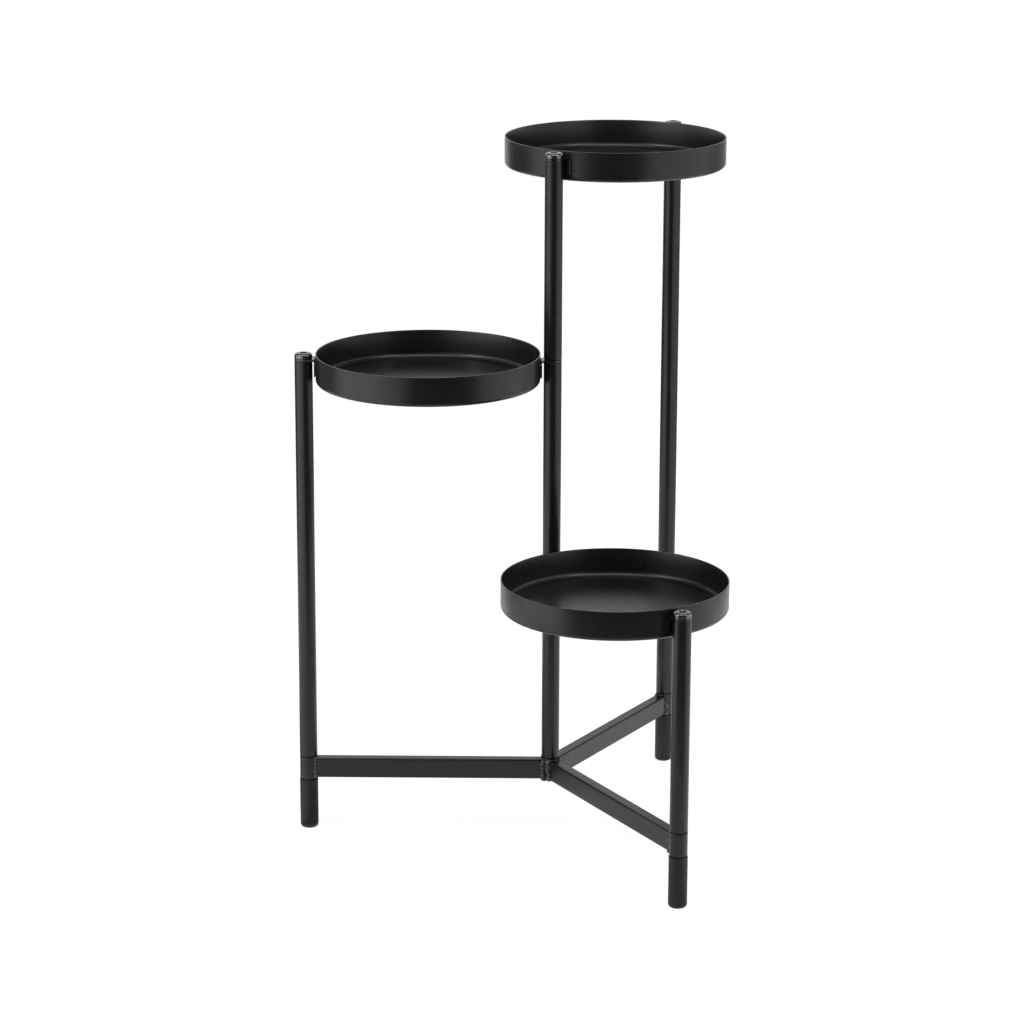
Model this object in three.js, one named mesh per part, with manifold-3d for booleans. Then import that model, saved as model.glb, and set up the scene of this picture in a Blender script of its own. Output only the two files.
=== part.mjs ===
// Three-tier plant stand in coated steel. A welded base of three arms carries three legs of
// stepped height, and a post in three stacked sections stands on its hub. Each round tray hangs
// between one leg and the post, by two folded brackets that are clamped at the ends of the tubes.
// Millimetres, +Z up, with the floor at z = 0 and the origin under the middle of the stand.
import * as THREE from 'three';
import { mergeVertices } from 'three/addons/utils/BufferGeometryUtils.js';
import Module from 'manifold-3d';

const wasm = await Module();
wasm.setup();

// Driving dimensions
const STAND_HEIGHT = 580;           // floor to the rim of the top tray
const TIER_STEP = 166.5;            // one tray's rim to the next
const TRAY_RADIUS = 92.5;           // outside of the wall
const TRAY_DEPTH = 24.5;            // rim to underside
const TRAY_SHEET = 1.2;
const TRAY_BEND_RADIUS = 3.6;       // outside of the bend between wall and floor
const TUBE_RADIUS = 7.4;
const TUBE_WALL = 1.2;
const TUBE_EDGE = 0.5;              // broken outer edge at a tube's end
const TUBE_TO_TRAY = 2.6;           // clear space between a tube and the tray's wall
const SEAT_GAP = 0.3;               // joint line between pieces that bear on each other

const FOOT_HEIGHT = 43.7;
const FOOT_RADIUS = 7.7;
const FOOT_BOTTOM_ROUND = 3;
const FOOT_SOCKET_DEPTH = 20;
const COLLAR_HEIGHT = 20;
const BAR_HEIGHT = 17;
const BAR_WIDTH = 10;
const BAR_WALL = 1.2;
const BAR_CORNER = 1.2;
const BAR_INNER_CORNER = 0.3;

const LUG_THICKNESS = 1.5;
const LUG_HOLE_RADIUS = 3.4;
const PLATE_THICKNESS = 1.2;
const PLATE_WIDTH = 19.5;
const PLATE_HEIGHT = 14.5;          // lug's top to the plate's lower edge
const PLATE_CORNER = 3;
const PLATE_TO_TRAY = 0.2;          // the plate lies on the wall, under its weld
const FOLD_RADIUS = 1.9;            // outside of the fold between plate and lug

const HEAD_HEIGHT = 4.2;
const HEAD_TOP_BELOW_RIM = 0.3;
const HEAD_SKIRT = 1.3;             // straight part below the dome
const HEAD_FLAT_RADIUS = 3.9;
const SOCKET_ACROSS_FLATS = 5;
const SOCKET_DEPTH = 2.4;
const SHANK_RADIUS = 3;
const SHANK_LENGTH = 17;
const INSERT_LENGTH = 12;
const INSERT_INSET = 1;             // how far an insert sits inside its tube's end
const STUD_OVERRUN = 1.5;           // how far a stud or shank passes its insert

const HUB_WEB_HEIGHT = 8;           // hub's lower end to the web that its screw bears on
const HUB_WEB_THICKNESS = 3;
const HUB_HEAD_RADIUS = 5;          // plain round head, inside the hub's bore
const HUB_HEAD_HEIGHT = 4.5;

const ROUND_TRAY = 60;              // sides of the round pieces
const ROUND_TUBE = 24;
const ROUND_HEAD = 24;
const ROUND_INNER = 12;

// Sizes that follow from them
const ARM_LENGTH = 2 * (TRAY_RADIUS + TUBE_TO_TRAY + TUBE_RADIUS);  // post axis to leg axis
const COLLAR_BOTTOM = FOOT_HEIGHT + SEAT_GAP;
const COLLAR_TOP = COLLAR_BOTTOM + COLLAR_HEIGHT;
const HEAD_BELOW_RIM = HEAD_TOP_BELOW_RIM + HEAD_HEIGHT;            // its underside
const LUG_TOP_BELOW_RIM = HEAD_BELOW_RIM + SEAT_GAP;
const LUG_BOTTOM_BELOW_RIM = LUG_TOP_BELOW_RIM + LUG_THICKNESS;
const TUBE_TOP_BELOW_RIM = LUG_BOTTOM_BELOW_RIM + SEAT_GAP;
const INSERT_OUTER = TUBE_RADIUS - TUBE_WALL - SEAT_GAP;
const INSERT_BORE = SHANK_RADIUS + SEAT_GAP;
const STUD_REACH = INSERT_INSET + INSERT_LENGTH + STUD_OVERRUN;     // past a tube's end

// Each arm holds one leg and one tray: the left one the middle tray, the front one the lowest
// and the rear one the highest.
const ARMS = [
  { side: 'left', tier: 'middle', angle: Math.PI, rim: STAND_HEIGHT - TIER_STEP },
  { side: 'front', tier: 'low', angle: -Math.PI / 3, rim: STAND_HEIGHT - 2 * TIER_STEP },
  { side: 'rear', tier: 'top', angle: Math.PI / 3, rim: STAND_HEIGHT },
];

const coatedSteel = new THREE.MeshStandardMaterial({ color: 0x1d1d1f, roughness: 0.5, metalness: 0.1 });
const blackScrew = new THREE.MeshStandardMaterial({ color: 0x121213, roughness: 0.25, metalness: 0.7 });
const zincSteel = new THREE.MeshStandardMaterial({ color: 0xb4b6b8, roughness: 0.35, metalness: 0.9 });
const footPlastic = new THREE.MeshStandardMaterial({ color: 0x1a1a1b, roughness: 0.55, metalness: 0 });

// Geometry tools

// A closed solid turned about +Z from an outline of [radius, height] points.
function turned(outline, sides) {
  const points = outline.map(([radius, height]) => new THREE.Vector2(radius, height));
  return new THREE.LatheGeometry(points, sides).rotateX(Math.PI / 2);
}

// Points of a quarter arc from one angle to another, both included.
function arcPoints(centreRadius, centreHeight, radius, from, to, steps) {
  const points = [];
  for (let i = 0; i <= steps; i++) {
    const angle = from + ((to - from) * i) / steps;
    points.push([centreRadius + radius * Math.cos(angle), centreHeight + radius * Math.sin(angle)]);
  }
  return points;
}

function toSolid(geometry) {
  const bare = new THREE.BufferGeometry();
  bare.setAttribute('position', geometry.getAttribute('position'));
  bare.setIndex(geometry.index);
  const merged = mergeVertices(bare, 1e-4);
  const corners = merged.index.array;
  const triVerts = [];
  for (let i = 0; i < corners.length; i += 3) {
    const [a, b, c] = corners.subarray(i, i + 3);
    if (a !== b && b !== c && c !== a) triVerts.push(a, b, c);
  }
  return new wasm.Manifold(new wasm.Mesh({
    numProp: 3,
    vertProperties: new Float32Array(merged.getAttribute('position').array),
    triVerts: new Uint32Array(triVerts),
  }));
}

function toGeometry(solid) {
  const { vertProperties, triVerts } = solid.getMesh();
  const geometry = new THREE.BufferGeometry();
  geometry.setAttribute('position', new THREE.BufferAttribute(vertProperties, 3));
  geometry.setIndex(new THREE.BufferAttribute(triVerts, 1));
  geometry.computeVertexNormals();
  return geometry;
}

function roundedRectangle(width, height, corner) {
  const shape = new THREE.Shape();
  const x = width / 2;
  const y = height / 2;
  shape.moveTo(-x + corner, -y);
  shape.lineTo(x - corner, -y);
  shape.absarc(x - corner, -y + corner, corner, -Math.PI / 2, 0);
  shape.lineTo(x, y - corner);
  shape.absarc(x - corner, y - corner, corner, 0, Math.PI / 2);
  shape.lineTo(-x + corner, y);
  shape.absarc(-x + corner, y - corner, corner, Math.PI / 2, Math.PI);
  shape.lineTo(-x, -y + corner);
  shape.absarc(-x + corner, -y + corner, corner, Math.PI, 1.5 * Math.PI);
  return shape;
}

function addPiece(parent, name, geometry, material, x = 0, z = 0) {
  const piece = new THREE.Mesh(geometry, material);
  piece.name = name;
  piece.position.set(x, 0, z);
  parent.add(piece);
}

// Pieces

// A tube standing on z = 0, with both its outer edges broken.
function tube(length) {
  const bore = TUBE_RADIUS - TUBE_WALL;
  return turned([
    [bore, 0], [TUBE_RADIUS - TUBE_EDGE, 0], [TUBE_RADIUS, TUBE_EDGE],
    [TUBE_RADIUS, length - TUBE_EDGE], [TUBE_RADIUS - TUBE_EDGE, length], [bore, length], [bore, 0],
  ], ROUND_TUBE);
}

// The hub is a tube like the collars, with a drilled web across its bore.
function hub() {
  const bore = TUBE_RADIUS - TUBE_WALL;
  const webTop = HUB_WEB_HEIGHT + HUB_WEB_THICKNESS;
  return turned([
    [bore, 0], [TUBE_RADIUS - TUBE_EDGE, 0], [TUBE_RADIUS, TUBE_EDGE],
    [TUBE_RADIUS, COLLAR_HEIGHT - TUBE_EDGE], [TUBE_RADIUS - TUBE_EDGE, COLLAR_HEIGHT],
    [bore, COLLAR_HEIGHT], [bore, webTop], [INSERT_BORE, webTop],
    [INSERT_BORE, HUB_WEB_HEIGHT], [bore, HUB_WEB_HEIGHT], [bore, 0],
  ], ROUND_TUBE);
}

// A pressed sheet tray with its underside on z = 0.
function tray() {
  const innerBend = TRAY_BEND_RADIUS - TRAY_SHEET;
  const innerRadius = TRAY_RADIUS - TRAY_SHEET;
  const bendCentre = TRAY_RADIUS - TRAY_BEND_RADIUS;
  return turned([
    [0, 0],
    ...arcPoints(bendCentre, TRAY_BEND_RADIUS, TRAY_BEND_RADIUS, -Math.PI / 2, 0, 3),
    [TRAY_RADIUS, TRAY_DEPTH - TRAY_SHEET / 3],
    [TRAY_RADIUS - TRAY_SHEET / 3, TRAY_DEPTH],
    [innerRadius, TRAY_DEPTH],
    ...arcPoints(bendCentre, TRAY_BEND_RADIUS, innerBend, 0, -Math.PI / 2, 3),
    [0, TRAY_SHEET],
  ], ROUND_TRAY);
}

// A bracket beside its tray's wall, with the tray's axis on x = 0 and the lug's top on z = 0.
// One strip of sheet follows the wall and folds out into a lug that the tube's end clamps.
function bracket() {
  const wallSide = TRAY_RADIUS + PLATE_TO_TRAY;
  const outerSide = wallSide + PLATE_THICKNESS;
  const tubeAxis = ARM_LENGTH / 2;
  const foldCentre = wallSide + FOLD_RADIUS;
  const folded = toSolid(turned([
    [wallSide, -PLATE_HEIGHT / 2], [outerSide, -PLATE_HEIGHT / 2],
    ...arcPoints(foldCentre, -FOLD_RADIUS, FOLD_RADIUS - LUG_THICKNESS, Math.PI, Math.PI / 2, 2),
    [tubeAxis + TUBE_RADIUS + 1, -LUG_THICKNESS], [tubeAxis + TUBE_RADIUS + 1, 0],
    ...arcPoints(foldCentre, -FOLD_RADIUS, FOLD_RADIUS, Math.PI / 2, Math.PI, 3),
    [wallSide, -PLATE_HEIGHT / 2],
  ], 2 * ROUND_TRAY));
  const plate = toSolid(turned([
    [wallSide, -PLATE_HEIGHT], [outerSide, -PLATE_HEIGHT],
    [outerSide, -FOLD_RADIUS], [wallSide, -FOLD_RADIUS], [wallSide, -PLATE_HEIGHT],
  ], 2 * ROUND_TRAY));
  return toGeometry(folded.intersect(lugOutline(tubeAxis))
    .add(plate.intersect(plateOutline(wallSide)))
    .subtract(lugHole(tubeAxis)));
}

// Seen from above: as wide as the tube and round about its axis.
function lugOutline(tubeAxis) {
  const shape = new THREE.Shape();
  shape.moveTo(TRAY_RADIUS - PLATE_THICKNESS, -TUBE_RADIUS);
  shape.absarc(tubeAxis, 0, TUBE_RADIUS, -Math.PI / 2, Math.PI / 2);
  shape.lineTo(TRAY_RADIUS - PLATE_THICKNESS, TUBE_RADIUS);
  const block = new THREE.ExtrudeGeometry(shape, {
    depth: 2 * PLATE_HEIGHT, bevelEnabled: false, curveSegments: ROUND_TUBE / 2,
  });
  return toSolid(block.translate(0, 0, -PLATE_HEIGHT));
}

// Seen from the tube: a plate with four round corners.
function plateOutline(wallSide) {
  const height = PLATE_HEIGHT - FOLD_RADIUS;
  const shape = roundedRectangle(PLATE_WIDTH, height, PLATE_CORNER);
  const block = new THREE.ExtrudeGeometry(shape, {
    depth: 4 * PLATE_THICKNESS, bevelEnabled: false, curveSegments: 3,
  });
  block.translate(0, 0, -2 * PLATE_THICKNESS).rotateX(Math.PI / 2).rotateZ(Math.PI / 2);
  return toSolid(block.translate(wallSide, 0, -FOLD_RADIUS - height / 2));
}

function lugHole(tubeAxis) {
  const hole = new THREE.CylinderGeometry(LUG_HOLE_RADIUS, LUG_HOLE_RADIUS, 4 * LUG_THICKNESS, ROUND_INNER);
  return toSolid(hole.rotateX(Math.PI / 2).translate(tubeAxis, 0, -LUG_THICKNESS / 2));
}

// A screw with a domed head and a hexagonal socket, its head standing on z = 0.
function domedScrew(shankLength) {
  const edge = 0.3;
  const domeSteps = 4;
  const dome = [];
  for (let i = 0; i <= domeSteps; i++) {
    const angle = (Math.PI / 2) * (i / domeSteps);
    dome.push([
      HEAD_FLAT_RADIUS + (TUBE_RADIUS - HEAD_FLAT_RADIUS) * Math.cos(angle),
      HEAD_SKIRT + (HEAD_HEIGHT - HEAD_SKIRT) * Math.sin(angle),
    ]);
  }
  const body = toSolid(turned([
    [0, -shankLength], [SHANK_RADIUS - edge, -shankLength], [SHANK_RADIUS, -shankLength + edge],
    [SHANK_RADIUS, 0], [TUBE_RADIUS - edge, 0], [TUBE_RADIUS, edge], ...dome, [0, HEAD_HEIGHT],
  ], ROUND_HEAD));
  return toGeometry(body.subtract(hexagonalSocket(HEAD_HEIGHT)));
}

function hexagonalSocket(headTop) {
  const corner = SOCKET_ACROSS_FLATS / 2 / Math.cos(Math.PI / 6);
  const socket = new THREE.CylinderGeometry(corner, corner, 2 * SOCKET_DEPTH, 6).rotateX(Math.PI / 2);
  return toSolid(socket.translate(0, 0, headTop));
}

// The screw inside the hub, its plain round head standing on z = 0.
function hubScrew(shankLength) {
  const edge = 0.4;
  const body = toSolid(turned([
    [0, -shankLength], [SHANK_RADIUS - edge, -shankLength], [SHANK_RADIUS, -shankLength + edge],
    [SHANK_RADIUS, 0], [HUB_HEAD_RADIUS, 0], [HUB_HEAD_RADIUS, HUB_HEAD_HEIGHT - edge],
    [HUB_HEAD_RADIUS - edge, HUB_HEAD_HEIGHT], [0, HUB_HEAD_HEIGHT],
  ], ROUND_HEAD));
  return toGeometry(body.subtract(hexagonalSocket(HUB_HEAD_HEIGHT)));
}

// A threaded bush, pressed into a tube's end.
function insert() {
  return turned([
    [INSERT_BORE, 0], [INSERT_OUTER, 0], [INSERT_OUTER, INSERT_LENGTH],
    [INSERT_BORE, INSERT_LENGTH], [INSERT_BORE, 0],
  ], ROUND_INNER);
}

function stud(length) {
  const edge = 0.5;
  return turned([
    [0, 0], [SHANK_RADIUS - edge, 0], [SHANK_RADIUS, edge],
    [SHANK_RADIUS, length - edge], [SHANK_RADIUS - edge, length], [0, length],
  ], ROUND_INNER);
}

// A foot with a round lower edge and a socket for the stud that is moulded into it.
function foot() {
  const floorOfSocket = FOOT_HEIGHT - FOOT_SOCKET_DEPTH;
  return turned([
    [0, 0],
    ...arcPoints(FOOT_RADIUS - FOOT_BOTTOM_ROUND, FOOT_BOTTOM_ROUND, FOOT_BOTTOM_ROUND, -Math.PI / 2, 0, 3),
    [FOOT_RADIUS, FOOT_HEIGHT - TUBE_EDGE], [FOOT_RADIUS - TUBE_EDGE, FOOT_HEIGHT],
    [INSERT_BORE, FOOT_HEIGHT], [INSERT_BORE, floorOfSocket], [0, floorOfSocket],
  ], ROUND_TUBE);
}

// A rectangular tube from the hub to a collar, along +X, its ends cut to lie round both.
function bar() {
  const outline = roundedRectangle(BAR_HEIGHT, BAR_WIDTH, BAR_CORNER);
  outline.holes.push(roundedRectangle(
    BAR_HEIGHT - 2 * BAR_WALL, BAR_WIDTH - 2 * BAR_WALL, BAR_INNER_CORNER));
  const blank = new THREE.ExtrudeGeometry(outline, {
    depth: ARM_LENGTH, bevelEnabled: false, curveSegments: 2,
  }).rotateY(Math.PI / 2);
  const saddle = () => new THREE.CylinderGeometry(
    TUBE_RADIUS + SEAT_GAP, TUBE_RADIUS + SEAT_GAP, 2 * BAR_HEIGHT, ROUND_TUBE).rotateX(Math.PI / 2);
  return toGeometry(toSolid(blank)
    .subtract(toSolid(saddle()))
    .subtract(toSolid(saddle().translate(ARM_LENGTH, 0, 0))));
}

// Assemblies

// One arm of the stand, in its own turned group: bar, collar, foot, leg and tray.
function buildArm(stand, { side, tier, angle, rim }) {
  const arm = new THREE.Group();
  arm.rotation.z = angle;
  stand.add(arm);
  addPiece(arm, `bar_${side}`, bar(), coatedSteel, 0, COLLAR_BOTTOM + COLLAR_HEIGHT / 2);
  addPiece(arm, `collar_${side}`, tube(COLLAR_HEIGHT), coatedSteel, ARM_LENGTH, COLLAR_BOTTOM);
  addPiece(arm, `foot_${side}`, foot(), footPlastic, ARM_LENGTH);
  buildLeg(arm, side, rim);
  buildTray(arm, tier, rim);
}

function buildLeg(arm, side, rim) {
  const bottom = COLLAR_TOP + SEAT_GAP;
  const top = rim - TUBE_TOP_BELOW_RIM;
  const studBottom = FOOT_HEIGHT - FOOT_SOCKET_DEPTH + SEAT_GAP;
  addPiece(arm, `leg_${side}`, tube(top - bottom), coatedSteel, ARM_LENGTH, bottom);
  addPiece(arm, `foot_stud_${side}`, stud(bottom + STUD_REACH - studBottom), zincSteel,
    ARM_LENGTH, studBottom);
  addPiece(arm, `leg_bottom_insert_${side}`, insert(), zincSteel, ARM_LENGTH, bottom + INSERT_INSET);
  addPiece(arm, `leg_top_insert_${side}`, insert(), zincSteel,
    ARM_LENGTH, top - INSERT_INSET - INSERT_LENGTH);
  addPiece(arm, `cap_screw_${side}`, domedScrew(SHANK_LENGTH), blackScrew,
    ARM_LENGTH, rim - HEAD_BELOW_RIM);
}

function buildTray(arm, tier, rim) {
  const group = new THREE.Group();
  group.position.set(ARM_LENGTH / 2, 0, rim);
  arm.add(group);
  addPiece(group, `tray_${tier}`, tray(), coatedSteel, 0, -TRAY_DEPTH);
  addPiece(group, `bracket_${tier}_leg`, bracket(), coatedSteel, 0, -LUG_TOP_BELOW_RIM);
  const postSide = new THREE.Group();
  postSide.rotation.z = Math.PI;
  group.add(postSide);
  addPiece(postSide, `bracket_${tier}_post`, bracket(), coatedSteel, 0, -LUG_TOP_BELOW_RIM);
}

// The hub and the post's three sections, which clamp the trays' inner lugs between them.
function buildPost(stand) {
  addPiece(stand, 'hub_tube', hub(), coatedSteel, 0, COLLAR_BOTTOM);
  const sections = ['lower', 'middle', 'upper'];
  sections.forEach((section, level) => {
    const rim = STAND_HEIGHT - (sections.length - 1 - level) * TIER_STEP;
    const bottom = level === 0 ? COLLAR_TOP + SEAT_GAP : rim - TIER_STEP - HEAD_BELOW_RIM;
    const top = rim - TUBE_TOP_BELOW_RIM;
    addPiece(stand, `post_${section}`, tube(top - bottom), coatedSteel, 0, bottom);
    addPiece(stand, `post_${section}_bottom_insert`, insert(), zincSteel, 0, bottom + INSERT_INSET);
    addPiece(stand, `post_${section}_top_insert`, insert(), zincSteel,
      0, top - INSERT_INSET - INSERT_LENGTH);
    if (level > 0) buildPostStud(stand, section, bottom);
  });
  addPiece(stand, 'cap_screw_post', domedScrew(SHANK_LENGTH), blackScrew, 0, STAND_HEIGHT - HEAD_BELOW_RIM);
  buildHubScrew(stand);
}

// A stud across the joint under a section, through the lug that is clamped there.
function buildPostStud(stand, section, sectionBottom) {
  const jointHeight = HEAD_BELOW_RIM - TUBE_TOP_BELOW_RIM;
  const bottom = sectionBottom + jointHeight - STUD_REACH;
  addPiece(stand, `post_stud_${section}`, stud(sectionBottom + STUD_REACH - bottom), zincSteel, 0, bottom);
}

// The screw that holds the post to the hub comes up from below and bears on the hub's web.
function buildHubScrew(stand) {
  const turnedOver = new THREE.Group();
  const headUnderside = HUB_WEB_HEIGHT - SEAT_GAP;
  turnedOver.rotation.x = Math.PI;
  turnedOver.position.z = COLLAR_BOTTOM + headUnderside;
  stand.add(turnedOver);
  const shankLength = COLLAR_HEIGHT - headUnderside + SEAT_GAP + STUD_REACH;
  addPiece(turnedOver, 'hub_screw', hubScrew(shankLength), blackScrew);
}

// The widest pieces set the middle of the stand: the left foot, and the trays at the right.
function middleOfStand() {
  const leftEdge = -ARM_LENGTH - FOOT_RADIUS;
  const rightEdge = (ARM_LENGTH / 2) * Math.cos(Math.PI / 3) + TRAY_RADIUS;
  return (leftEdge + rightEdge) / 2;
}

const stand = new THREE.Group();
stand.position.x = -middleOfStand();
for (const arm of ARMS) buildArm(stand, arm);
buildPost(stand);

export default stand;
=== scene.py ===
# A tiered plant stand in black powder-coated steel, dressed around its CAD frame.
# Metres, +Z up, with the floor at z = 0. Every fine piece has the size and place of the node that
# it replaces. The camera stands in front, towards -Y.
import math

import bmesh
import bpy
from mathutils import Matrix, Vector, noise


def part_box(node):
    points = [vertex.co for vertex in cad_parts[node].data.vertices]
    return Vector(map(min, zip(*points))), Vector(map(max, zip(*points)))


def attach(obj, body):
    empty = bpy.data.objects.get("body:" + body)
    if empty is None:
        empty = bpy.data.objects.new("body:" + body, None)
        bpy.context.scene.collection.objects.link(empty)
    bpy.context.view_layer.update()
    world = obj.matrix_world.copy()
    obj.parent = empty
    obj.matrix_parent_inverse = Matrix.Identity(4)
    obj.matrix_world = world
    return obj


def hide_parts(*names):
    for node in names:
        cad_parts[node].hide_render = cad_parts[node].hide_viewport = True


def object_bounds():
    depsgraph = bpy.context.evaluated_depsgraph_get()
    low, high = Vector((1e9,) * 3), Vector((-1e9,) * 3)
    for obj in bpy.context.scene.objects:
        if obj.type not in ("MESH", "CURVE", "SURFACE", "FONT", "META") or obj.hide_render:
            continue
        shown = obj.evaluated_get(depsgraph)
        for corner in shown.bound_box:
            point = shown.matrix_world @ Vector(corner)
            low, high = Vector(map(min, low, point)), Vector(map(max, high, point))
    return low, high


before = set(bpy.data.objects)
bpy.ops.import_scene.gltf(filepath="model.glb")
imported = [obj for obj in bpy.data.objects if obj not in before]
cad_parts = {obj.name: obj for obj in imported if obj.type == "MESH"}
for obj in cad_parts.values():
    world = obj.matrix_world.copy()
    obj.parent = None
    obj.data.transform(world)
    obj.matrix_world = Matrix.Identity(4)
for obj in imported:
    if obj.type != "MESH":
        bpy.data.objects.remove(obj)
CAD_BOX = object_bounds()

MM = 0.001
SIDES = ("left", "front", "rear")
TIER_OF_SIDE = {"left": "middle", "front": "low", "rear": "top"}
ARM_ANGLE = {"left": math.pi, "front": -math.pi / 3, "rear": math.pi / 3}
SECTIONS = ("lower", "middle", "upper")

# Sizes of the stand, as the solids have them
TUBE_RADIUS = 7.4 * MM
TUBE_WALL = 1.2 * MM
HUB_WEB_HEIGHT = 8 * MM
HUB_WEB_THICKNESS = 3 * MM
FOOT_RADIUS = 7.7 * MM
FOOT_BOTTOM_ROUND = 3 * MM
FOOT_SOCKET_RADIUS = 3.3 * MM
FOOT_SOCKET_DEPTH = 20 * MM
TRAY_RADIUS = 92.5 * MM
TRAY_SHEET = 1.2 * MM
TRAY_BEND_RADIUS = 3.6 * MM
BAR_WIDTH = 10 * MM
BAR_WALL = 1.2 * MM
BAR_CORNER = 1.2 * MM
BAR_INNER_CORNER = 0.3 * MM
LUG_THICKNESS = 1.5 * MM
LUG_HOLE_RADIUS = 3.4 * MM
PLATE_THICKNESS = 1.2 * MM
PLATE_WIDTH = 19.5 * MM
PLATE_HEIGHT = 14.5 * MM
PLATE_CORNER = 3 * MM
PLATE_TO_TRAY = 0.2 * MM
FOLD_RADIUS = 1.9 * MM
HEAD_HEIGHT = 4.2 * MM
SHANK_RADIUS = 3 * MM

# Forms that the solids have plainer, or not at all. A tube ends in a ring, SEAM_DEPTH inside its
# wall, that meets its neighbour, and the wall outside the ring stops SEAM_GAP short of it.
TUBE_EDGE = 0.3 * MM
SEAM_GAP = 0.24 * MM
SEAM_DEPTH = 0.85 * MM
FOOT_EDGE = 0.4 * MM
TRAY_INNER_BEND = 4.6 * MM
RIM_ROUND = 0.15 * MM
RIM_WIDTH = 0.75 * MM
RIM_SLOPE_HEIGHT = 1.6 * RIM_WIDTH
INNER_FOLD_RADIUS = 0.55 * MM
BRACKET_EDGE = 0.42 * MM
HEAD_EDGE = 0.35 * MM
HEAD_SKIRT = 2.2 * MM
HEAD_FLAT_RADIUS = 4.9 * MM
SOCKET_ACROSS_FLATS = 5.5 * MM
SOCKET_DEPTH = 2.7 * MM
SOCKET_MOUTH = 0.3 * MM
SCREW_EDGE = 0.12 * MM
FIRST_SCREW_TURN = 0.35  # radians, as is the next
NEXT_SCREW_TURN = 1.1

# The beads round a bar's two ends: radius, length of a ripple, roughness, and how far the bead's
# middle lies along the bar. The seeds are the first bar's, and the step from one bar to the next.
BEADS = {
    "hub": {"radius": 2.6 * MM, "ripple": 3.3 * MM, "roughness": 0.55, "lead": 0.5 * MM},
    "collar": {"radius": 1.6 * MM, "ripple": 4.2 * MM, "roughness": 0.9, "lead": 0.3 * MM},
}
BEAD_SEEDS = {"hub": (1, 3.7), "collar": (2, 5.3)}
BEAD_STEP = 0.22 * MM
BEAD_SIDES = 16
BEAD_PATH_STEPS = 6
THINNEST_BEAD = 0.12 * MM
BEAD_VALLEY = 0.66          # a ripple's size at its ends, as a share of the bead's radius
BEAD_CREST = 0.42           # how much it swells in between
BEAD_CREST_POWER = 0.7
BEAD_DRIFT = 0.55           # how far the ripples stray from even lengths
BEAD_SWELL = 0.7            # how rough the bead is lengthwise, against its lumps all round
BEAD_DRIFT_WAVES = 260      # waves per metre, as are the next two
BEAD_SWELL_WAVES = 420
BEAD_LUMP_WAVES = 340
GROUND_SHARE = 0.22         # what is left of the bead on the bar's top and bottom
BEAD_GROWS_FROM = 0.72      # of the way from the bar's middle to its side, where it is full

# Sides and steps of the round forms
ROUND_TRAY = 192
ROUND_TUBE = 96
ROUND_SCREW = 72
ROUND_HOLE = 48
ARC_STEPS = 6
BAR_CORNER_STEPS = 5
BAR_SIDE_STEPS = 8
BEND_STEPS = 10
INNER_BEND_STEPS = 12
HEAD_EDGE_STEPS = 4
DOME_STEPS = 14
BRACKET_COLUMNS = 24
PLATE_ROWS = 10
LUG_ROWS = 12
CORNER_TURN = 9             # degrees between the rows at a bracket's rounded ends
PLATE_TO_FOLD = 0.3 * MM    # from the plate's last row to the fold's first
TIP_INSET = 0.02 * MM       # keeps a lug's last row from closing to a point

# Edges sharper than this many degrees stay sharp in the shading
SMOOTH_ANGLE = 32
SMOOTH_ANGLE_SCREW = 28
SMOOTH_ANGLE_WELD = 60

# The camera: a long lens from 2.8 m away, a little above the stand. Angles are in degrees.
LENS = 116.69
SENSOR = 36
CAMERA_AIM = Vector((0.0014, -0.0002, 0.2787))
CAMERA_DISTANCE = 2.7608
CAMERA_PITCH = 15.138
CAMERA_HEADING = -0.634
CAMERA_ROLL = 0.187
CLIP_END = 50

# The room's even light, and the backdrop: white up to one elevation, in degrees, and as dim as a
# ceiling above the other
ROOM_SHADE = 0.64
CEILING_START = 22
CEILING_END = 36
CEILING_SHADE = 0.25

# The floor: its paint, how white the camera and reflections see it, and how much of what they see
# is that plain white and not the lit paint with the stand's shadow
FLOOR_PAINT = 0.90
FLOOR_WHITE = 1.11
FLOOR_WHITE_SHARE = 0.80
FLOOR_HALF_SIDE = 6

# Soft lamps. Azimuth 0 is the camera's side, and +90 the right. Angles are in degrees, power is
# in watts, and aim is the height that a lamp points at. Cards stand for a lamp in reflections if
# it isn't mirrored.
LAMPS = {
    "key_left": {"azimuth": -70, "elevation": 0, "distance": 1.3, "width": 0.9, "height": 1.6,
                 "power": 3.0, "aim": 0.8, "mirrored": False},
    "fill_right": {"azimuth": 80, "elevation": 0, "distance": 1.3, "width": 0.9, "height": 1.6,
                   "power": 2.0, "aim": 0.8, "mirrored": False},
    "overhead": {"azimuth": 0, "elevation": 72, "distance": 1.8, "width": 1.4, "height": 0.9,
                 "power": 9, "aim": 0.3, "mirrored": True},
    "spark_left": {"azimuth": -58, "elevation": 42, "distance": 1.7, "width": 0.26,
                   "height": 0.26, "power": 5, "aim": 0.3, "mirrored": True},
    "spark_right": {"azimuth": 52, "elevation": 48, "distance": 1.7, "width": 0.22,
                    "height": 0.22, "power": 3.2, "aim": 0.3, "mirrored": True},
}

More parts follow.
